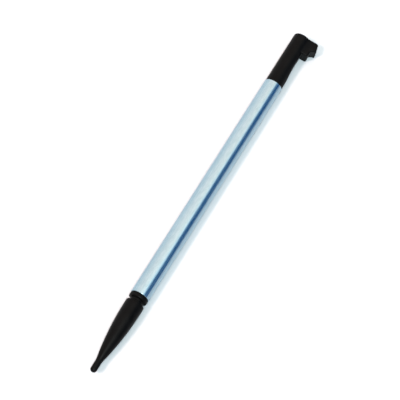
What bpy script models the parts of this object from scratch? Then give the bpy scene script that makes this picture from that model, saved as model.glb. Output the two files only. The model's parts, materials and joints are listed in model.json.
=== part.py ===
"""A telescopic touch-screen stylus, lying on a table with its tip pushed home.

Each piece is built about its own Z axis, which is the axis of the stylus: the nib points to -Z, the head to +Z,
and Z = 0 is the mouth of the barrel. An empty lays that axis along world X, with the barrel and the head's pull
lip touching the table at Z = 0.
"""

import math

import bmesh
import bpy

MM = 0.001

# Barrel: a drawn tube with square-cut ends
BARREL_DIAMETER = 4.0 * MM
BARREL_WALL = 0.3 * MM
BARREL_LENGTH = 54.8 * MM
BARREL_EDGE = 0.06 * MM

# Guide bush: a flanged sleeve in the mouth of the barrel
BUSH_WALL = 0.32 * MM
BUSH_SLEEVE_LENGTH = 7.0 * MM
COLLAR_THICKNESS = 0.9 * MM
COLLAR_STEP = 0.04 * MM
COLLAR_EDGE = 0.2 * MM

# Tip: a nose with a straight nib, a flared root and a long bowed taper
TIP_LENGTH = 16.4 * MM
TIP_SHOULDER_LENGTH = 1.2 * MM
TIP_SHOULDER_EDGE = 0.2 * MM
NIB_DIAMETER = 1.34 * MM
NIB_LENGTH = 2.3 * MM
NIB_FLARE_LENGTH = 1.5 * MM
TAPER_START_DIAMETER = 1.8 * MM
GROOVE_WIDTH = 0.75 * MM
NECK_STEP = 0.08 * MM
TIP_SPIGOT_LENGTH = 6.0 * MM

# Inner tube: carries the tip and slides through the bush
TUBE_WALL = 0.25 * MM

# Rear spool and the two half shells that rub in the barrel
SPOOL_FLANGE = 0.6 * MM
SPOOL_SPIGOT_LENGTH = 4.0 * MM
SPRING_LENGTH = 4.6 * MM
SPRING_THICKNESS = 0.2 * MM
SPRING_BOW = 0.1 * MM
SPRING_SPAN = math.radians(166)
CLOSED_REAR_GAP = 0.8 * MM

# Head: a round body with a scooped side under a stepped pull lip
HEAD_STEP = 0.1 * MM
HEAD_NECK_LENGTH = 9.2 * MM
HEAD_SEAT_EDGE = 0.1 * MM
HEAD_TOP_EDGE = 0.25 * MM
HEAD_SPIGOT_LENGTH = 8.0 * MM
HEAD_SPIGOT_LEAD = 0.3 * MM
RELIEF_DEPTH = 0.36 * MM
RELIEF_START = 0.4 * MM
RELIEF_RUN = 5.4 * MM
LIP_SIDE_INSET = 0.45 * MM
LIP_CORNER = 0.4 * MM
LIP_EDGE = 0.15 * MM
LIP_TOP_EDGE = 0.35 * MM
LIP_ROOT_OVERHANG = 1.09 * MM
LIP_STEP_DEPTH = 1.25 * MM
LIP_OUTER_OVERHANG = 1.1 * MM
LIP_SCALLOP_RISE = 0.55 * MM
LIP_OUTER_THICKNESS = 1.93 * MM
LIP_END_LEAN = math.radians(13)

# Clearances
PRESS_GAP = 0.03 * MM
FACE_GAP = 0.03 * MM
SLIDE_GAP = 0.05 * MM
FLANGE_GAP = 0.1 * MM
SPRING_GAP = 0.03 * MM

# Facets
ROUND_STEPS = 40
EDGE_STEPS = 3
NIB_STEPS = 6
FLARE_STEPS = 5
TAPER_STEPS = 10
BOW_STEPS = 6
SHELL_STEPS = 16
BACK_STEPS = 28
RELIEF_STEPS = 6
TOP_STEPS = 6
SCALLOP_STEPS = 5
WELD_DISTANCE = 0.0001 * MM
SHARP_ANGLE = math.radians(35)

# Radii that follow from the sizes above
BARREL_RADIUS = BARREL_DIAMETER / 2
BORE_RADIUS = BARREL_RADIUS - BARREL_WALL
PRESSED_RADIUS = BORE_RADIUS - PRESS_GAP
COLLAR_RADIUS = BARREL_RADIUS - COLLAR_STEP
BUSH_BORE_RADIUS = PRESSED_RADIUS - BUSH_WALL
TUBE_RADIUS = BUSH_BORE_RADIUS - SLIDE_GAP
TUBE_BORE_RADIUS = TUBE_RADIUS - TUBE_WALL
PLUG_RADIUS = TUBE_BORE_RADIUS - PRESS_GAP
NECK_RADIUS = BUSH_BORE_RADIUS + NECK_STEP
NIB_RADIUS = NIB_DIAMETER / 2
TAPER_START_RADIUS = TAPER_START_DIAMETER / 2
SPRING_RADIUS = BORE_RADIUS - SPRING_GAP
WAIST_RADIUS = SPRING_RADIUS - SPRING_BOW - SPRING_THICKNESS - SLIDE_GAP
FLANGE_RADIUS = BORE_RADIUS - FLANGE_GAP
HEAD_RADIUS = BARREL_RADIUS - HEAD_STEP
LIP_HALF_WIDTH = HEAD_RADIUS - LIP_SIDE_INSET
LIP_ROOT_REACH = HEAD_RADIUS + LIP_ROOT_OVERHANG
LIP_REACH = LIP_ROOT_REACH + LIP_OUTER_OVERHANG

# Heights along the axis, from the mouth of the barrel
COLLAR_FACE = -FACE_GAP - COLLAR_THICKNESS
NECK_FACE = COLLAR_FACE - FACE_GAP
SHOULDER = NECK_FACE - GROOVE_WIDTH
NIB_END = SHOULDER - TIP_LENGTH
HEAD_SEAT = BARREL_LENGTH + FACE_GAP
LIP_UNDERSIDE = HEAD_SEAT + HEAD_NECK_LENGTH
LIP_STEP = LIP_UNDERSIDE + LIP_STEP_DEPTH
LIP_OUTER_UNDERSIDE = LIP_STEP + LIP_SCALLOP_RISE
HEAD_TOP = LIP_OUTER_UNDERSIDE + LIP_OUTER_THICKNESS
SPOOL_REAR = BARREL_LENGTH - HEAD_SPIGOT_LENGTH - CLOSED_REAR_GAP
SPRING_TOP = SPOOL_REAR - SPOOL_FLANGE - FACE_GAP
SPRING_FOOT = SPRING_TOP - SPRING_LENGTH
SPOOL_FRONT = SPRING_FOOT - FACE_GAP - SPOOL_FLANGE
TUBE_END = SPOOL_FRONT - FACE_GAP


def rest_roll():
    """How far the head rolls from level until the rounded corner of its lip touches the table."""
    reach = LIP_REACH - LIP_CORNER
    half = LIP_HALF_WIDTH - LIP_CORNER
    return math.asin((BARREL_RADIUS - LIP_CORNER) / math.hypot(reach, half)) - math.atan2(half, reach)


def rest_place():
    """Where the axis lies, so that the world origin is under the middle of the stylus, on the table."""
    roll = rest_roll()
    lip_side = (LIP_REACH - LIP_CORNER) * math.cos(roll) + LIP_CORNER
    lip_side += (LIP_HALF_WIDTH - LIP_CORNER) * math.sin(roll)
    return -(NIB_END + HEAD_TOP) / 2, (lip_side - BARREL_RADIUS) / 2, BARREL_RADIUS


def clear_scene():
    for old in list(bpy.data.objects):
        bpy.data.objects.remove(old, do_unlink=True)


def empty(name, parent=None):
    made = bpy.data.objects.new(name, None)
    made.empty_display_size = BARREL_DIAMETER
    bpy.context.scene.collection.objects.link(made)
    made.parent = parent
    return made


def finish(name, colour, roughness, metallic):
    """A plain material for one piece."""
    material = bpy.data.materials.new(name)
    material.use_nodes = True
    shader = material.node_tree.nodes["Principled BSDF"]
    shader.inputs["Base Color"].default_value = (*colour, 1)
    shader.inputs["Roughness"].default_value = roughness
    shader.inputs["Metallic"].default_value = metallic
    return material


def piece(name, shape, material, parent):
    """An object made from a bmesh, welded, facing out and shaded smooth."""
    bmesh.ops.remove_doubles(shape, verts=shape.verts, dist=WELD_DISTANCE)
    bmesh.ops.recalc_face_normals(shape, faces=shape.faces)
    mesh = bpy.data.meshes.new(name)
    shape.to_mesh(mesh)
    shape.free()
    mesh.shade_smooth()
    mesh.set_sharp_from_angle(angle=SHARP_ANGLE)
    mesh.materials.append(material)
    made = bpy.data.objects.new(name, mesh)
    bpy.context.scene.collection.objects.link(made)
    made.parent = parent
    return made


def outline(shape, profile, closed):
    """The vertices and edges of a (radius, height) outline."""
    corners = [shape.verts.new((radius, 0, height)) for radius, height in profile]
    pairs = list(zip(corners, corners[1:]))
    if closed:
        pairs.append((corners[-1], corners[0]))
    return corners + [shape.edges.new(pair) for pair in pairs]


def turned(name, profile, material, parent, hollow=False):
    """A full turn of an outline: a closed one for a hollow piece, else one that starts and ends on the axis."""
    shape = bmesh.new()
    bmesh.ops.spin(
        shape,
        geom=outline(shape, profile, hollow),
        cent=(0, 0, 0),
        axis=(0, 0, 1),
        angle=math.tau,
        steps=ROUND_STEPS,
        use_merge=True,
    )
    return piece(name, shape, material, parent)


def rounded_edge(radius, height, edge, start, end):
    """Points round an edge circle of the given centre, from one angle to another."""
    angles = [start + (end - start) * step / EDGE_STEPS for step in range(EDGE_STEPS + 1)]
    return [(radius + edge * math.cos(angle), height + edge * math.sin(angle)) for angle in angles]


def make_barrel(parent):
    material = finish("barrel_silver", (0.72, 0.78, 0.82), 0.28, 1.0)
    profile = [
        (BORE_RADIUS + BARREL_EDGE, BARREL_LENGTH),
        (BARREL_RADIUS - BARREL_EDGE, BARREL_LENGTH),
        (BARREL_RADIUS, BARREL_LENGTH - BARREL_EDGE),
        (BARREL_RADIUS, BARREL_EDGE),
        (BARREL_RADIUS - BARREL_EDGE, 0),
        (BORE_RADIUS + BARREL_EDGE, 0),
        (BORE_RADIUS, BARREL_EDGE),
        (BORE_RADIUS, BARREL_LENGTH - BARREL_EDGE),
    ]
    return turned("barrel", profile, material, parent, hollow=True)


def make_guide_bush(parent):
    material = finish("bush_black", (0.012, 0.012, 0.013), 0.45, 0.0)
    centre = COLLAR_RADIUS - COLLAR_EDGE
    profile = [(BUSH_BORE_RADIUS, BUSH_SLEEVE_LENGTH), (PRESSED_RADIUS, BUSH_SLEEVE_LENGTH)]
    profile += [(PRESSED_RADIUS, -FACE_GAP)]
    profile += rounded_edge(centre, -FACE_GAP - COLLAR_EDGE, COLLAR_EDGE, math.pi / 2, 0)
    profile += rounded_edge(centre, COLLAR_FACE + COLLAR_EDGE, COLLAR_EDGE, 0, -math.pi / 2)
    profile += [(BUSH_BORE_RADIUS, COLLAR_FACE)]
    return turned("guide_bush", profile, material, parent, hollow=True)


def nose_radius(distance):
    """The nose's radius at a distance from the start of the nib's flare, up to the shoulder."""
    taper_length = TIP_LENGTH - TIP_SHOULDER_LENGTH - NIB_LENGTH - NIB_FLARE_LENGTH
    rise = COLLAR_RADIUS - TAPER_START_RADIUS
    if distance >= NIB_FLARE_LENGTH:
        left = 1 - (distance - NIB_FLARE_LENGTH) / taper_length
        return COLLAR_RADIUS - rise * left * left
    # The flare is a cubic that leaves the nib straight and meets the taper at its own slope
    along = distance / NIB_FLARE_LENGTH
    end_slope = 2 * rise * NIB_FLARE_LENGTH / taper_length
    lift = TAPER_START_RADIUS - NIB_RADIUS
    return NIB_RADIUS + lift * along**2 * (3 - 2 * along) + end_slope * along**2 * (along - 1)


def make_tip(parent):
    material = finish("tip_black", (0.012, 0.012, 0.013), 0.42, 0.0)
    flare_start = NIB_END + NIB_LENGTH
    taper_start = flare_start + NIB_FLARE_LENGTH
    taper_end = SHOULDER - TIP_SHOULDER_LENGTH
    heights = [flare_start + NIB_FLARE_LENGTH * step / FLARE_STEPS for step in range(FLARE_STEPS)]
    heights += [taper_start + (taper_end - taper_start) * step / TAPER_STEPS for step in range(TAPER_STEPS + 1)]
    nose = [(nose_radius(height - flare_start), height) for height in heights]
    dome_angles = [math.pi / 2 * step / NIB_STEPS for step in range(NIB_STEPS)]
    dome = [
        (NIB_RADIUS * math.cos(angle), NIB_END + NIB_RADIUS * (1 - math.sin(angle))) for angle in dome_angles
    ]
    spigot_end = NECK_FACE + TIP_SPIGOT_LENGTH
    profile = [(0, spigot_end), (PLUG_RADIUS, spigot_end), (PLUG_RADIUS, NECK_FACE)]
    profile += [(NECK_RADIUS, NECK_FACE), (NECK_RADIUS, SHOULDER)]
    centre = COLLAR_RADIUS - TIP_SHOULDER_EDGE
    profile += rounded_edge(centre, SHOULDER - TIP_SHOULDER_EDGE, TIP_SHOULDER_EDGE, math.pi / 2, 0)
    profile += reversed(nose)
    profile += dome
    profile += [(0, NIB_END)]
    return turned("tip", profile, material, parent)


def make_inner_tube(parent):
    material = finish("tube_steel", (0.70, 0.72, 0.74), 0.22, 1.0)
    foot = NECK_FACE + FACE_GAP
    profile = [
        (TUBE_BORE_RADIUS, TUBE_END),
        (TUBE_RADIUS, TUBE_END),
        (TUBE_RADIUS, foot),
        (TUBE_BORE_RADIUS, foot),
    ]
    return turned("inner_tube", profile, material, parent, hollow=True)


def make_rear_spool(parent):
    material = finish("spool_brass", (0.66, 0.48, 0.20), 0.3, 1.0)
    front_flange_top = SPOOL_FRONT + SPOOL_FLANGE
    rear_flange_foot = SPOOL_REAR - SPOOL_FLANGE
    spigot_end = SPOOL_FRONT - SPOOL_SPIGOT_LENGTH
    profile = [
        (0, SPOOL_REAR),
        (FLANGE_RADIUS, SPOOL_REAR),
        (FLANGE_RADIUS, rear_flange_foot),
        (WAIST_RADIUS, rear_flange_foot),
        (WAIST_RADIUS, front_flange_top),
        (FLANGE_RADIUS, front_flange_top),
        (FLANGE_RADIUS, SPOOL_FRONT),
        (PLUG_RADIUS, SPOOL_FRONT),
        (PLUG_RADIUS, spigot_end),
        (0, spigot_end),
    ]
    return turned("rear_spool", profile, material, parent)


def make_friction_spring(name, middle_angle, parent):
    """A half shell, bowed along its length so that its middle rubs in the barrel."""
    material = finish(name + "_bronze", (0.60, 0.40, 0.22), 0.35, 1.0)
    heights = [SPRING_FOOT + SPRING_LENGTH * step / BOW_STEPS for step in range(BOW_STEPS + 1)]
    bows = [SPRING_BOW * (1 - math.sin(math.pi * step / BOW_STEPS)) for step in range(BOW_STEPS + 1)]
    outer = [(SPRING_RADIUS - bow, height) for bow, height in zip(bows, heights)]
    inner = [(radius - SPRING_THICKNESS, height) for radius, height in outer]
    shape = bmesh.new()
    corners = [shape.verts.new((radius, 0, height)) for radius, height in outer[::-1] + inner]
    bmesh.ops.spin(
        shape,
        geom=[shape.faces.new(corners)],
        cent=(0, 0, 0),
        axis=(0, 0, 1),
        angle=SPRING_SPAN,
        steps=SHELL_STEPS,
    )
    made = piece(name, shape, material, parent)
    made.rotation_euler.z = middle_angle - SPRING_SPAN / 2
    return made


def lip_path(reach, half_width, corner):
    """Points round the outer end of the lip, as (along the lip, across it), from one rounded corner to the other."""
    angles = [math.pi / 2 * step / EDGE_STEPS for step in range(EDGE_STEPS + 1)]
    upper = [
        (reach - corner * (1 - math.sin(angle)), half_width - corner * (1 - math.cos(angle))) for angle in angles
    ]
    lower = [(along, -across) for along, across in reversed(upper)]
    return upper + lower


def head_section(radius, flat=None, lip_reach=None, inset=0.0, lip_inset=LIP_EDGE):
    """A closed outline across the head: round, with the lip side cut flat, or with the lip standing out of it.

    The insets draw in the round part and the lip. Below the lip, its drawn-in foot sets where the points lie.
    """
    half_width = LIP_HALF_WIDTH - lip_inset
    join = math.asin(half_width / (HEAD_RADIUS - inset))
    turn = (math.tau - 2 * join) / BACK_STEPS
    back = [join + turn * step for step in range(BACK_STEPS + 1)]
    points = [((radius - inset) * math.cos(angle), (radius - inset) * math.sin(angle)) for angle in back]
    if lip_reach is None:
        lip_points = 2 * (EDGE_STEPS + 1)
        spread = 2 * join / (lip_points + 1)
        front = [-join + spread * (step + 1) for step in range(lip_points)]
        points += [(radius * math.cos(angle), radius * math.sin(angle)) for angle in front]
        limit = radius if flat is None else flat
        return [(min(along, limit), across) for along, across in points]
    corner = LIP_CORNER * half_width / LIP_HALF_WIDTH
    return points + lip_path(lip_reach - lip_inset, half_width, corner)[::-1]


def rim_inset(edge, below_top):
    """How far a rounded rim of that radius draws an outline in, at a distance below the top."""
    if below_top >= edge:
        return 0.0
    return edge - math.sqrt(edge**2 - (edge - below_top) ** 2)


def head_layers():
    """The head's outlines and their heights, from the end of its spigot to its top."""
    spigot_end = BARREL_LENGTH - HEAD_SPIGOT_LENGTH
    layers = [
        (head_section(PRESSED_RADIUS - HEAD_SPIGOT_LEAD), spigot_end),
        (head_section(PRESSED_RADIUS), spigot_end + HEAD_SPIGOT_LEAD),
        (head_section(PRESSED_RADIUS), HEAD_SEAT),
        (head_section(HEAD_RADIUS - HEAD_SEAT_EDGE), HEAD_SEAT),
        (head_section(HEAD_RADIUS), HEAD_SEAT + HEAD_SEAT_EDGE),
    ]
    # The scooped side deepens smoothly and then runs level up to the lip
    for step in range(RELIEF_STEPS + 1):
        along = step / RELIEF_STEPS
        depth = RELIEF_DEPTH * math.sin(math.pi / 2 * along) ** 2
        section = head_section(HEAD_RADIUS, flat=HEAD_RADIUS - depth)
        layers.append((section, HEAD_SEAT + RELIEF_START + RELIEF_RUN * along))
    layers.append((head_section(HEAD_RADIUS, flat=HEAD_RADIUS - RELIEF_DEPTH), LIP_UNDERSIDE))
    # The lip's root, with a rounded lower edge
    for step in range(EDGE_STEPS + 1):
        angle = math.pi / 2 * step / EDGE_STEPS
        section = head_section(HEAD_RADIUS, lip_reach=LIP_ROOT_REACH, lip_inset=LIP_EDGE * (1 - math.sin(angle)))
        layers.append((section, LIP_UNDERSIDE + LIP_EDGE * (1 - math.cos(angle))))
    # The step, then the hollow under the lip's outer edge
    for step in range(SCALLOP_STEPS + 1):
        along = step / SCALLOP_STEPS
        reach = LIP_ROOT_REACH + LIP_OUTER_OVERHANG * along
        section = head_section(HEAD_RADIUS, lip_reach=reach, lip_inset=0.0)
        layers.append((section, LIP_STEP + LIP_SCALLOP_RISE * math.sin(math.pi / 2 * along)))
    # The leaning end face and the rounded rims of the top
    for step in range(TOP_STEPS + 1):
        below_top = LIP_TOP_EDGE * (1 - math.sin(math.pi / 2 * step / TOP_STEPS))
        height = HEAD_TOP - below_top
        lean = (height - LIP_OUTER_UNDERSIDE) * math.tan(LIP_END_LEAN)
        section = head_section(
            HEAD_RADIUS,
            lip_reach=LIP_REACH - lean,
            inset=rim_inset(HEAD_TOP_EDGE, below_top),
            lip_inset=rim_inset(LIP_TOP_EDGE, below_top),
        )
        layers.append((section, height))
    return layers


def make_head(parent):
    """A loft through the head's outlines, closed at both ends. The lip points to -Y."""
    material = finish("head_black", (0.012, 0.012, 0.013), 0.42, 0.0)
    shape = bmesh.new()
    rings = []
    for section, height in head_layers():
        rings.append([shape.verts.new((across, -along, height)) for along, across in section])
    for lower, upper in zip(rings, rings[1:]):
        for here in range(len(lower)):
            shape.faces.new((lower[here - 1], lower[here], upper[here], upper[here - 1]))
    shape.faces.new(rings[0])
    shape.faces.new(rings[-1])
    made = piece("head", shape, material, parent)
    made.rotation_euler.z = rest_roll()
    return made


def make_stylus():
    axis = empty("stylus_axis")
    axis.location = rest_place()
    axis.rotation_euler.y = math.pi / 2
    make_barrel(axis)
    make_guide_bush(axis)
    make_head(axis)
    slide = empty("slide_axis", axis)
    make_friction_spring("friction_spring_upper", math.pi, slide)
    make_friction_spring("friction_spring_lower", 0.0, slide)
    spin = empty("spin_axis", slide)
    make_inner_tube(spin)
    make_tip(spin)
    make_rear_spool(spin)


clear_scene()
make_stylus()
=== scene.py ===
"""The looks of the telescopic stylus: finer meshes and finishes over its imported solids, and the studio.

Each piece is modelled about its own Z axis, which is the axis of the stylus, with Z = 0 at the mouth of
the barrel, the nib towards -Z and the pull lip towards -Y. lay() then puts it where the frame has that axis.
"""

import json
import math

import bmesh
import bpy
from mathutils import Matrix, Vector


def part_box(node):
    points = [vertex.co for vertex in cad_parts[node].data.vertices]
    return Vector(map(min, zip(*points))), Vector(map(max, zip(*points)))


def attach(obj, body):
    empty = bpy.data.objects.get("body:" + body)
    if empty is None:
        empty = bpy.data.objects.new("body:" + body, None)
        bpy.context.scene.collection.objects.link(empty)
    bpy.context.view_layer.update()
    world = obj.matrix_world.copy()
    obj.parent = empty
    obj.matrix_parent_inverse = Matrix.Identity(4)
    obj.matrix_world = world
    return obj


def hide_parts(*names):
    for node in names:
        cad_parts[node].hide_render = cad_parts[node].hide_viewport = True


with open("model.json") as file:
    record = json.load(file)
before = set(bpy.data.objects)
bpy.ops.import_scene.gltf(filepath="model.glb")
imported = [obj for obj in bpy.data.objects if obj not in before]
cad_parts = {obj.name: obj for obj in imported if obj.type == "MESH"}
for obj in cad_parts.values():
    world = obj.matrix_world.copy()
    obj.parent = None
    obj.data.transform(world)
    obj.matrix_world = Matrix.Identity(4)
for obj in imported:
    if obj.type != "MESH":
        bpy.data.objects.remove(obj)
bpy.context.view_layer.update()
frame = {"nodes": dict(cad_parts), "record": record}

MM = 0.001

# Places read from the frame
barrel_low, barrel_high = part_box("barrel")
bush_low, bush_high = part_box("guide_bush")
tip_low, tip_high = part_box("tip")
tube_low, tube_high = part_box("inner_tube")
head_low, head_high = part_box("head")
lip_seat = next(mount for mount in frame["record"]["mounts"] if mount["name"] == "lip_seat")["pos_m"]
MOUTH = Vector((barrel_low.x, (barrel_low.y + barrel_high.y) / 2, (barrel_low.z + barrel_high.z) / 2))
BARREL_RADIUS = (barrel_high.z - barrel_low.z) / 2
BARREL_LENGTH = barrel_high.x - barrel_low.x
COLLAR_RADIUS = (bush_high.z - bush_low.z) / 2
COLLAR_FACE = bush_low.x - MOUTH.x
SLEEVE_END = bush_high.x - MOUTH.x
TUBE_RADIUS = (tube_high.z - tube_low.z) / 2
TUBE_FOOT = tube_low.x - MOUTH.x
TUBE_END = tube_high.x - MOUTH.x
NIB_END = tip_low.x - MOUTH.x
SPIGOT_END = tip_high.x - MOUTH.x
TIP_RADIUS = (tip_high.z - tip_low.z) / 2
HEAD_FOOT = head_low.x - MOUTH.x
HEAD_TOP = head_high.x - MOUTH.x
HEAD_RADIUS = head_high.y - MOUTH.y
LIP_UNDERSIDE = lip_seat[0] - MOUTH.x
LIP_ROLL = math.atan2(MOUTH.z - lip_seat[2], MOUTH.y - lip_seat[1])

# Sizes of the turned pieces that their boxes do not give
BARREL_WALL = 0.3 * MM
BARREL_EDGE = 0.06 * MM
COLLAR_EDGE = 0.2 * MM
FACE_GAP = 0.03 * MM
PRESS_GAP = 0.03 * MM
SLIDE_GAP = 0.05 * MM
TUBE_WALL = 0.25 * MM
TUBE_EDGE = 0.04 * MM
GROOVE_WIDTH = 0.75 * MM
NECK_STEP = 0.08 * MM
TIP_SHOULDER_LENGTH = 1.2 * MM
TIP_SHOULDER_EDGE = 0.2 * MM
NIB_RADIUS = 0.67 * MM
NIB_LENGTH = 2.3 * MM
NIB_FLARE_LENGTH = 1.5 * MM
TAPER_START_RADIUS = 0.9 * MM

# Sizes of the head
HEAD_SEAT = BARREL_LENGTH + FACE_GAP
HEAD_SEAT_EDGE = 0.1 * MM
HEAD_TOP_EDGE = 0.25 * MM
HEAD_SPIGOT_LEAD = 0.3 * MM
SEAM_HEIGHT = 0.012 * MM
# The scooped side starts later and is a little shallower than the solid's, as the photograph shows it
RELIEF_DEPTH = 0.33 * MM
RELIEF_START = 1.1 * MM
RELIEF_RUN = 5.4 * MM

# Sizes of the pull lip
LIP_FILLET = 0.16 * MM
LIP_HALF_WIDTH = 1.45 * MM
LIP_CORNER = 0.4 * MM
LIP_EDGE = 0.15 * MM
LIP_TOP_EDGE = 0.35 * MM
LIP_ROOT_REACH = 2.99 * MM
# A hair less than the solid's, because this finer corner comes closer to its full round
LIP_OUTER_OVERHANG = 1.095 * MM
LIP_STEP_DEPTH = 1.25 * MM
LIP_STEP_HEIGHT = LIP_UNDERSIDE + LIP_STEP_DEPTH
LIP_SCALLOP_RISE = 0.55 * MM
LIP_END_LEAN = math.radians(13)

# Facets
ROUND_STEPS = 128
EDGE_STEPS = 6
CORNER_STEPS = 12
NOSE_STEPS = 60
DOME_STEPS = 14
BACK_STEPS = 96
FRONT_STEPS = 40
NECK_LAYERS = 24
LIP_LAYERS = 12
WELD_DISTANCE = 0.0001 * MM
SHARP_ANGLE = math.radians(40)

# Noise in the finishes: how fine it is, and between which values a finish goes from one end to the other
NOISE_DETAIL = 3.0
NOISE_RANGE = (0.3, 0.7)
# What the noise measures along x, y and z of a piece. The rings are on CAD meshes, which lie along X.
DRAWN_LINES = (0.05 * MM, 0.05 * MM, 9.0 * MM)
DRAWN_CLOUDS = (0.5 * MM, 0.5 * MM, 1.4 * MM)
MOULD_GRAIN = (0.09 * MM, 0.09 * MM, 0.09 * MM)
MOULD_CLOUDS = (1.2 * MM, 1.2 * MM, 2.0 * MM)
TURNED_RINGS = (0.04 * MM, 4.0 * MM, 4.0 * MM)
TURNED_CLOUDS = (0.7 * MM, 0.7 * MM, 0.7 * MM)
BARREL_LINE_DEPTH = 0.0010 * MM
TUBE_LINE_DEPTH = 0.0004 * MM
MOULD_GRAIN_DEPTH = 0.004 * MM
RING_DEPTH = 0.0008 * MM
# The two tones and the two roughnesses that each finish wanders between
BARREL_TONES = ((0.305, 0.435, 0.505), (0.355, 0.485, 0.555))
BARREL_ROUGHNESS = (0.22, 0.30)
BARREL_EDGE_TINT = (0.95, 0.97, 1.0)
TUBE_TONES = ((0.26, 0.31, 0.35), (0.31, 0.365, 0.40))
TUBE_ROUGHNESS = (0.14, 0.22)
TUBE_EDGE_TINT = (0.9, 0.9, 0.92)
BLACK_TONES = ((0.0011, 0.0011, 0.0012), (0.0020, 0.0020, 0.0021))
BLACK_SPECULAR = 0.05
MOULDED_ROUGHNESS = (0.38, 0.48)
SMOOTH_ROUGHNESS = (0.32, 0.42)
BRASS_TONES = ((0.62, 0.43, 0.17), (0.72, 0.53, 0.25))
BRASS_ROUGHNESS = (0.22, 0.34)
BRONZE_TONES = ((0.52, 0.31, 0.16), (0.62, 0.40, 0.22))
BRONZE_ROUGHNESS = (0.26, 0.40)

# The camera, as fitted to the photograph
VIEW_ELEVATION = math.radians(63.24)
VIEW_AZIMUTH = math.radians(-60.56)
VIEW_DISTANCE = 364.4 * MM
AIM_ALONG = 24.24 * MM
AIM_SIDEWAYS = -0.13 * MM
FOCAL_PIXELS = 1816
IMAGE_PIXELS = 400
SENSOR_WIDTH = 36.0
NEAR_CLIP = 10 * MM

# The floor: a pale board with a slight gloss
FLOOR_SIZE = 6.0
FLOOR_COLOUR = (0.334, 0.353, 0.376)
FLOOR_ROUGHNESS = 0.36

# The studio's light by angle from straight up, in degrees, towards the side the pull lip is on
SKY = [
    (-95, (0.68, 0.66, 0.65)),
    (-70, (0.70, 0.67, 0.66)),
    (-48, (0.82, 0.73, 0.69)),
    (-24, (0.90, 0.77, 0.71)),
    (5, (0.95, 0.81, 0.72)),
    (25, (0.93, 0.81, 0.73)),
    (40, (0.80, 1.05, 1.12)),
    (95, (1.00, 1.25, 1.30)),
]
# It is brightest in a long soft box, whose middle and edges are given by how far it leans towards the head
SKY_STRENGTH = 2.0
SKY_DIMMED = 0.8
BOX_LEAN = 0.39
BOX_EDGE = (0.22, 0.60)
# A dark screen beyond the head, which the barrel shows as a narrow line, and its soft edge from outside in
SCREEN_FROM = Vector((0.39, -0.89, 0.205))
SCREEN_COLOUR = (0.0, 0.065, 0.18)
SCREEN_EDGE = (math.radians(43), math.radians(28))
# Lamps: name, where the light comes from, strength, colour, spread, and whether shiny surfaces mirror it
LAMPS = [
    ("key_light", Vector((-0.62, 0.36, 1.0)), 4.0, (1.0, 0.76, 0.70), math.radians(14), False),
    ("top_light", Vector((-0.40, -0.27, 1.0)), 5.2, (0.88, 1.0, 0.99), math.radians(19), True),
]


def shares(steps):
    """Even steps from 0 to 1, both included."""
    return [step / steps for step in range(steps + 1)]


def quarter_turn(steps):
    """Even angles from 0 to a right angle, both included."""
    return [math.pi / 2 * share for share in shares(steps)]


def lay(piece, body, slot, *nodes):
    """Lays a piece along the frame's axis and hands it to its body, in place of the CAD nodes."""
    piece.matrix_world = Matrix.Translation(MOUTH) @ Matrix.Rotation(math.pi / 2, 4, "Y")
    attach(piece, body)
    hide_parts(*nodes)


def piece_from(name, shape, material):
    """An object with this shape, smooth but for its sharp corners."""
    bmesh.ops.remove_doubles(shape, verts=shape.verts, dist=WELD_DISTANCE)
    bmesh.ops.recalc_face_normals(shape, faces=shape.faces)
    mesh = bpy.data.meshes.new(name)
    shape.to_mesh(mesh)
    shape.free()
    mesh.shade_smooth()
    mesh.set_sharp_from_angle(angle=SHARP_ANGLE)
    mesh.materials.append(material)
    piece = bpy.data.objects.new(name, mesh)
    bpy.context.scene.collection.objects.link(piece)
    return piece


def turned(name, profile, material, hollow=False):
    """A full turn of a (radius, height) outline, closed for a hollow piece, else from axis to axis."""
    shape = bmesh.new()
    corners = [shape.verts.new((radius, 0, height)) for radius, height in profile]
    pairs = list(zip(corners, corners[1:]))
    if hollow:
        pairs.append((corners[-1], corners[0]))
    edges = [shape.edges.new(pair) for pair in pairs]
    bmesh.ops.spin(
        shape,
        geom=corners + edges,
        cent=(0, 0, 0),
        axis=(0, 0, 1),
        angle=math.tau,
        steps=ROUND_STEPS,
        use_merge=True,
    )
    return piece_from(name, shape, material)


def arc(radius, height, edge, start, end):
    """Points round an edge circle of the given centre, from one angle to another, in degrees."""
    points = []
    for share in shares(EDGE_STEPS):
        angle = math.radians(start + (end - start) * share)
        points.append((radius + edge * math.cos(angle), height + edge * math.sin(angle)))
    return points


class Nodes:
    """A node tree, with helpers that add nodes to it."""

    def __init__(self, tree):
        self.tree = tree

    def put(self, value, socket):
        """Links an input to another node's output, or sets it to a plain value."""
        if isinstance(value, bpy.types.NodeSocket):
            self.tree.links.new(value, socket)
        else:
            socket.default_value = value

    def add(self, kind, inputs=None, **settings):
        """A new node with these settings and inputs."""
        node = self.tree.nodes.new(kind)
        for name, value in settings.items():
            setattr(node, name, value)
        for socket, value in (inputs or {}).items():
            self.put(value, node.inputs[socket])
        return node

    def calculate(self, operation, *values):
        return self.add("ShaderNodeMath", dict(enumerate(values)), operation=operation).outputs["Value"]

    def map_range(self, value, source, target=(0.0, 1.0), curve="LINEAR"):
        """Maps a value from one range of numbers to another, and holds it inside that."""
        inputs = {"Value": value}
        inputs["From Min"], inputs["From Max"] = source
        inputs["To Min"], inputs["To Max"] = target
        return self.add("ShaderNodeMapRange", inputs, interpolation_type=curve).outputs["Result"]

    def mix(self, share, first, second):
        """Mixes two colours by a value from 0 to 1."""
        inputs = {"Factor": share, "A": first, "B": second}
        return self.add("ShaderNodeMix", inputs, data_type="RGBA").outputs["Result"]


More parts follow.
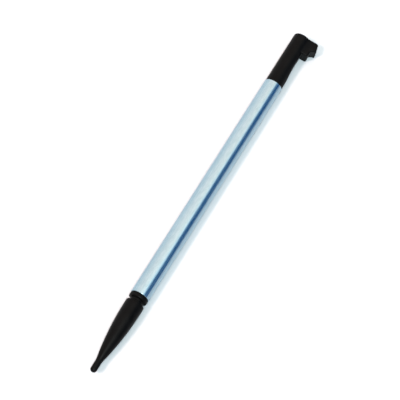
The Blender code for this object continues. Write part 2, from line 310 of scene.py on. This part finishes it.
class Finish(Nodes):
    """A node material, with helpers for the textures that drive its shader."""

    def __init__(self, name):
        self.material = bpy.data.materials.new(name)
        self.material.use_nodes = True
        super().__init__(self.material.node_tree)
        self.shader = self.tree.nodes["Principled BSDF"]
        self.place = self.add("ShaderNodeTexCoord").outputs["Object"]

    def feed(self, socket, value):
        self.put(value, self.shader.inputs[socket])

    def noise(self, grain):
        """Noise whose features measure grain = (x, y, z) metres."""
        scale = [1 / size for size in grain]
        mapping = self.add("ShaderNodeMapping", {"Vector": self.place, "Scale": scale})
        inputs = {"Vector": mapping.outputs["Vector"], "Scale": 1.0, "Detail": NOISE_DETAIL}
        return self.add("ShaderNodeTexNoise", inputs).outputs["Fac"]

    def colour(self, noise, tones):
        """Lets the base colour wander between two tones."""
        darker, lighter = tones
        self.feed("Base Color", self.mix(self.map_range(noise, NOISE_RANGE), (*darker, 1), (*lighter, 1)))

    def roughen(self, noise, roughness):
        """Lets the roughness wander between two values."""
        self.feed("Roughness", self.map_range(noise, NOISE_RANGE, roughness))

    def relief(self, noise, depth):
        """Small bumps of a given depth in metres."""
        bump = self.add("ShaderNodeBump", {"Height": noise, "Strength": 1.0, "Distance": depth})
        self.feed("Normal", bump.outputs["Normal"])


def drawn_metal(name, tones, edge_tint, roughness, line_depth):
    """Metal tube with fine lines along it, left by drawing."""
    finish = Finish(name)
    finish.feed("Metallic", 1.0)
    finish.feed("Specular Tint", (*edge_tint, 1))
    lines = finish.noise(DRAWN_LINES)
    finish.colour(finish.noise(DRAWN_CLOUDS), tones)
    finish.roughen(lines, roughness)
    finish.relief(lines, line_depth)
    return finish.material


def moulded_plastic(name, roughness):
    """Black plastic with the fine grain of its mould."""
    finish = Finish(name)
    finish.feed("Specular IOR Level", BLACK_SPECULAR)
    clouds = finish.noise(MOULD_CLOUDS)
    finish.colour(clouds, BLACK_TONES)
    finish.roughen(clouds, roughness)
    finish.relief(finish.noise(MOULD_GRAIN), MOULD_GRAIN_DEPTH)
    return finish.material


def turned_metal(name, tones, roughness):
    """Metal turned or rolled across the axis, with fine rings round it."""
    finish = Finish(name)
    finish.feed("Metallic", 1.0)
    rings = finish.noise(TURNED_RINGS)
    finish.colour(finish.noise(TURNED_CLOUDS), tones)
    finish.roughen(rings, roughness)
    finish.relief(rings, RING_DEPTH)
    return finish.material


def make_barrel():
    material = drawn_metal(
        "satin_barrel", BARREL_TONES, BARREL_EDGE_TINT, BARREL_ROUGHNESS, BARREL_LINE_DEPTH
    )
    bore = BARREL_RADIUS - BARREL_WALL
    outer = BARREL_RADIUS - BARREL_EDGE
    inner = bore + BARREL_EDGE
    top = BARREL_LENGTH - BARREL_EDGE
    profile = arc(inner, top, BARREL_EDGE, 180, 90) + arc(outer, top, BARREL_EDGE, 90, 0)
    profile += arc(outer, BARREL_EDGE, BARREL_EDGE, 0, -90) + arc(inner, BARREL_EDGE, BARREL_EDGE, -90, -180)
    lay(turned("barrel_tube", profile, material, hollow=True), "barrel", "barrel_metal", "barrel")


def make_guide_bush(material):
    sleeve = BARREL_RADIUS - BARREL_WALL - PRESS_GAP
    bore = TUBE_RADIUS + SLIDE_GAP
    centre = COLLAR_RADIUS - COLLAR_EDGE
    profile = [(bore, SLEEVE_END), (sleeve, SLEEVE_END), (sleeve, -FACE_GAP)]
    profile += arc(centre, -FACE_GAP - COLLAR_EDGE, COLLAR_EDGE, 90, 0)
    profile += arc(centre, COLLAR_FACE + COLLAR_EDGE, COLLAR_EDGE, 0, -90)
    profile += [(bore, COLLAR_FACE)]
    lay(turned("collar_bush", profile, material, hollow=True), "barrel", "black_plastic", "guide_bush")


def nose_radius(distance, taper_length):
    """The nose's radius at a distance from the start of the nib's flare, up to the shoulder."""
    rise = TIP_RADIUS - TAPER_START_RADIUS
    if distance >= NIB_FLARE_LENGTH:
        left = 1 - (distance - NIB_FLARE_LENGTH) / taper_length
        return TIP_RADIUS - rise * left * left
    # The flare is a cubic that leaves the nib straight and meets the taper at the taper's own slope
    along = distance / NIB_FLARE_LENGTH
    end_slope = 2 * rise * NIB_FLARE_LENGTH / taper_length
    lift = TAPER_START_RADIUS - NIB_RADIUS
    return NIB_RADIUS + lift * along**2 * (3 - 2 * along) + end_slope * along**2 * (along - 1)


def make_tip(material):
    neck_face = COLLAR_FACE - FACE_GAP
    shoulder = neck_face - GROOVE_WIDTH
    plug = TUBE_RADIUS - TUBE_WALL - PRESS_GAP
    neck = TUBE_RADIUS + SLIDE_GAP + NECK_STEP
    flare_start = NIB_END + NIB_LENGTH
    taper_end = shoulder - TIP_SHOULDER_LENGTH
    taper_length = taper_end - flare_start - NIB_FLARE_LENGTH
    profile = [(0, SPIGOT_END), (plug, SPIGOT_END), (plug, neck_face), (neck, neck_face), (neck, shoulder)]
    profile += arc(TIP_RADIUS - TIP_SHOULDER_EDGE, shoulder - TIP_SHOULDER_EDGE, TIP_SHOULDER_EDGE, 90, 0)
    for share in shares(NOSE_STEPS):
        height = taper_end + (flare_start - taper_end) * share
        profile.append((nose_radius(height - flare_start, taper_length), height))
    for angle in quarter_turn(DOME_STEPS):
        profile.append((NIB_RADIUS * math.cos(angle), NIB_END + NIB_RADIUS * (1 - math.sin(angle))))
    lay(turned("tip_nose", profile, material), "tip_section", "tip_plastic", "tip")


def make_inner_tube():
    material = drawn_metal("polished_tube", TUBE_TONES, TUBE_EDGE_TINT, TUBE_ROUGHNESS, TUBE_LINE_DEPTH)
    bore = TUBE_RADIUS - TUBE_WALL
    outer = TUBE_RADIUS - TUBE_EDGE
    profile = [(bore, TUBE_END)] + arc(outer, TUBE_END - TUBE_EDGE, TUBE_EDGE, 90, 0)
    profile += arc(outer, TUBE_FOOT + TUBE_EDGE, TUBE_EDGE, 0, -90) + [(bore, TUBE_FOOT)]
    lay(turned("sliding_tube", profile, material, hollow=True), "tip_section", "tube_steel", "inner_tube")


def lip_path(reach, half_width, corner):
    """FRONT_STEPS points round the outer end of the lip, as (along the lip, across it)."""
    flat = half_width - corner
    flat_steps = FRONT_STEPS // 2 - CORNER_STEPS
    upper = []
    for angle in quarter_turn(CORNER_STEPS - 1):
        upper.append((reach - corner * (1 - math.sin(angle)), flat + corner * math.cos(angle)))
    # The points stop half a step short of the middle, and the mirrored half goes on from there
    for step in range(1, flat_steps + 1):
        upper.append((reach, flat * (1 - step / (flat_steps + 0.5))))
    lower = [(along, -across) for along, across in reversed(upper)]
    return upper + lower


def head_section(radius, flat=None, lip_reach=None, inset=0.0, lip_inset=LIP_EDGE):
    """A closed outline across the head: round, with the lip side cut flat, or with the lip standing out.

    All outlines have the same number of points, as the loft needs, with the parting line at the back.
    """
    half_width = LIP_HALF_WIDTH - lip_inset
    join = math.asin(half_width / (HEAD_RADIUS - inset))
    turn = (math.tau - 2 * join) / BACK_STEPS
    points = []
    for step in range(BACK_STEPS + 1):
        seam = SEAM_HEIGHT if step == BACK_STEPS // 2 else 0.0
        reach = radius - inset + seam
        angle = join + turn * step
        points.append((reach * math.cos(angle), reach * math.sin(angle)))
    if lip_reach is None:
        front_turn = 2 * join / (FRONT_STEPS + 1)
        for step in range(FRONT_STEPS):
            angle = -join + front_turn * (step + 1)
            points.append((radius * math.cos(angle), radius * math.sin(angle)))
        limit = radius if flat is None else flat
        return [(min(along, limit), across) for along, across in points]
    corner = LIP_CORNER * half_width / LIP_HALF_WIDTH
    return points + lip_path(lip_reach - lip_inset, half_width, corner)[::-1]


def rim_inset(edge, below_top):
    """How far a rounded rim of that radius draws an outline in, at a distance below the top."""
    if below_top >= edge:
        return 0.0
    return edge - math.sqrt(edge**2 - (edge - below_top) ** 2)


def spigot_layers():
    """The spigot, and the rounded edge of the head on the end of the barrel."""
    pressed = BARREL_RADIUS - BARREL_WALL - PRESS_GAP
    layers = [
        (head_section(pressed - HEAD_SPIGOT_LEAD), HEAD_FOOT),
        (head_section(pressed), HEAD_FOOT + HEAD_SPIGOT_LEAD),
        (head_section(pressed), HEAD_SEAT),
    ]
    for angle in quarter_turn(EDGE_STEPS):
        draw_in = HEAD_SEAT_EDGE * (1 - math.sin(angle))
        rise = HEAD_SEAT_EDGE * (1 - math.cos(angle))
        layers.append((head_section(HEAD_RADIUS - draw_in), HEAD_SEAT + rise))
    return layers


def neck_layers():
    """The scooped side, which deepens smoothly, runs level, and turns out into the lip by a small fillet."""
    layers = []
    for share in shares(NECK_LAYERS):
        depth = RELIEF_DEPTH * math.sin(math.pi / 2 * share) ** 2
        height = HEAD_SEAT + RELIEF_START + RELIEF_RUN * share
        layers.append((head_section(HEAD_RADIUS, flat=HEAD_RADIUS - depth), height))
    for angle in quarter_turn(EDGE_STEPS):
        flat = HEAD_RADIUS - RELIEF_DEPTH + LIP_FILLET * (1 - math.cos(angle))
        drop = LIP_FILLET * (1 - math.sin(angle))
        layers.append((head_section(HEAD_RADIUS, flat=flat), LIP_UNDERSIDE - drop))
    return layers


def lip_layers():
    """The lip's root with its rounded lower edge, then the step and the hollow under the outer edge."""
    layers = []
    for angle in quarter_turn(EDGE_STEPS):
        draw_in = LIP_EDGE * (1 - math.sin(angle))
        rise = LIP_EDGE * (1 - math.cos(angle))
        section = head_section(HEAD_RADIUS, lip_reach=LIP_ROOT_REACH, lip_inset=draw_in)
        layers.append((section, LIP_UNDERSIDE + rise))
    for share in shares(LIP_LAYERS):
        reach = LIP_ROOT_REACH + LIP_OUTER_OVERHANG * share
        rise = LIP_SCALLOP_RISE * math.sin(math.pi / 2 * share)
        section = head_section(HEAD_RADIUS, lip_reach=reach, lip_inset=0.0)
        layers.append((section, LIP_STEP_HEIGHT + rise))
    return layers


def rim_layers():
    """The leaning end face and the rounded rims of the top."""
    outer_underside = LIP_STEP_HEIGHT + LIP_SCALLOP_RISE
    layers = []
    for angle in quarter_turn(LIP_LAYERS):
        below_top = LIP_TOP_EDGE * (1 - math.sin(angle))
        height = HEAD_TOP - below_top
        lean = (height - outer_underside) * math.tan(LIP_END_LEAN)
        section = head_section(
            HEAD_RADIUS,
            lip_reach=LIP_ROOT_REACH + LIP_OUTER_OVERHANG - lean,
            inset=rim_inset(HEAD_TOP_EDGE, below_top),
            lip_inset=rim_inset(LIP_TOP_EDGE, below_top),
        )
        layers.append((section, height))
    return layers


def make_head(material):
    """A loft through the head's outlines, from the end of its spigot to its top, closed at both ends."""
    shape = bmesh.new()
    rings = []
    for section, height in spigot_layers() + neck_layers() + lip_layers() + rim_layers():
        rings.append([shape.verts.new((across, -along, height)) for along, across in section])
    for lower, upper in zip(rings, rings[1:]):
        for here in range(len(lower)):
            shape.faces.new((lower[here - 1], lower[here], upper[here], upper[here - 1]))
    shape.faces.new(rings[0])
    shape.faces.new(rings[-1])
    bmesh.ops.rotate(shape, verts=shape.verts, cent=(0, 0, 0), matrix=Matrix.Rotation(LIP_ROLL, 3, "Z"))
    lay(piece_from("hooked_head", shape, material), "barrel", "black_plastic", "head")


def dress_inner_pieces():
    """The spool and its half shells keep their CAD meshes, which stand in the frame's own axes."""
    brass = turned_metal("turned_brass", BRASS_TONES, BRASS_ROUGHNESS)
    bronze = turned_metal("rolled_bronze", BRONZE_TONES, BRONZE_ROUGHNESS)
    finishes = {"rear_spool": brass, "friction_spring_upper": bronze, "friction_spring_lower": bronze}
    for node, material in finishes.items():
        for slot in frame["nodes"][node].material_slots:
            slot.material = material


def make_camera():
    camera = bpy.data.objects.new("camera", bpy.data.cameras.new("camera"))
    bpy.context.scene.collection.objects.link(camera)
    level = math.cos(VIEW_ELEVATION)
    up = math.sin(VIEW_ELEVATION)
    back = Vector((math.sin(VIEW_AZIMUTH) * level, -math.cos(VIEW_AZIMUTH) * level, up))
    right = Vector((math.cos(VIEW_AZIMUTH), math.sin(VIEW_AZIMUTH), 0))
    aim = MOUTH + Vector((AIM_ALONG, 0, 0)) + right * AIM_SIDEWAYS
    camera.location = aim + back * VIEW_DISTANCE
    camera.rotation_euler = back.to_track_quat("Z", "Y").to_euler()
    camera.data.sensor_width = SENSOR_WIDTH
    camera.data.lens = SENSOR_WIDTH * FOCAL_PIXELS / IMAGE_PIXELS
    camera.data.clip_start = NEAR_CLIP
    bpy.context.scene.camera = camera


def make_floor():
    bpy.ops.mesh.primitive_plane_add(size=FLOOR_SIZE)
    floor = bpy.context.object
    floor.name = "floor"
    material = bpy.data.materials.new("floor_white")
    material.use_nodes = True
    shader = material.node_tree.nodes["Principled BSDF"]
    shader.inputs["Base Color"].default_value = (*FLOOR_COLOUR, 1)
    shader.inputs["Roughness"].default_value = FLOOR_ROUGHNESS
    floor.data.materials.append(material)


def box_strength(nodes, towards_head):
    """The light's strength, by how far a direction lies from the middle of the soft box."""
    offset = nodes.calculate("ABSOLUTE", nodes.calculate("SUBTRACT", towards_head, BOX_LEAN))
    return nodes.map_range(offset, BOX_EDGE, (SKY_STRENGTH, SKY_DIMMED), "SMOOTHSTEP")


def ramp_place(degrees):
    """Where an angle from straight up stands on a ramp that takes in a full turn."""
    return 0.5 + degrees / 360


def sky_colour(nodes, sideways, up):
    """The light's colour, by the angle of a direction from straight up."""
    angle = nodes.calculate("ARCTAN2", sideways, up)
    bands = nodes.add("ShaderNodeValToRGB", {"Fac": nodes.map_range(angle, (math.pi, -math.pi))})
    stops = bands.color_ramp.elements
    # A new ramp has two stops, which become the outer ones
    for stop, (degrees, colour) in zip(stops, (SKY[0], SKY[-1])):
        stop.position = ramp_place(degrees)
        stop.color = (*colour, 1)
    for degrees, colour in SKY[1:-1]:
        stops.new(ramp_place(degrees)).color = (*colour, 1)
    return bands.outputs["Color"]


def behind_screen(nodes, direction, colour):
    """The same light, with the dark screen and its soft edge in front of it."""
    towards_screen = {0: direction, 1: SCREEN_FROM.normalized()}
    near = nodes.add("ShaderNodeVectorMath", towards_screen, operation="DOT_PRODUCT").outputs["Value"]
    edge = [math.cos(angle) for angle in SCREEN_EDGE]
    share = nodes.map_range(near, edge, curve="SMOOTHSTEP")
    return nodes.mix(share, colour, (*SCREEN_COLOUR, 1))


def make_world():
    world = bpy.data.worlds.new("studio")
    bpy.context.scene.world = world
    world.use_nodes = True
    nodes = Nodes(world.node_tree)
    background = world.node_tree.nodes["Background"].inputs
    direction = nodes.add("ShaderNodeTexCoord").outputs["Generated"]
    parts = nodes.add("ShaderNodeSeparateXYZ", {"Vector": direction}).outputs
    colour = sky_colour(nodes, parts["Y"], parts["Z"])
    nodes.put(behind_screen(nodes, direction, colour), background["Color"])
    nodes.put(box_strength(nodes, parts["X"]), background["Strength"])
    bpy.context.scene.view_settings.view_transform = "Standard"


def make_lamps():
    for name, source, strength, colour, spread, mirrored in LAMPS:
        lamp = bpy.data.objects.new(name, bpy.data.lights.new(name, "SUN"))
        bpy.context.scene.collection.objects.link(lamp)
        lamp.rotation_euler = source.to_track_quat("Z", "Y").to_euler()
        lamp.data.energy = strength
        lamp.data.color = colour
        lamp.data.angle = spread
        lamp.visible_glossy = mirrored


black_plastic = moulded_plastic("moulded_black", MOULDED_ROUGHNESS)
tip_plastic = moulded_plastic("smooth_black", SMOOTH_ROUGHNESS)
make_barrel()
make_guide_bush(black_plastic)
make_tip(tip_plastic)
make_inner_tube()
make_head(black_plastic)
dress_inner_pieces()
make_camera()
make_floor()
make_world()
make_lamps()
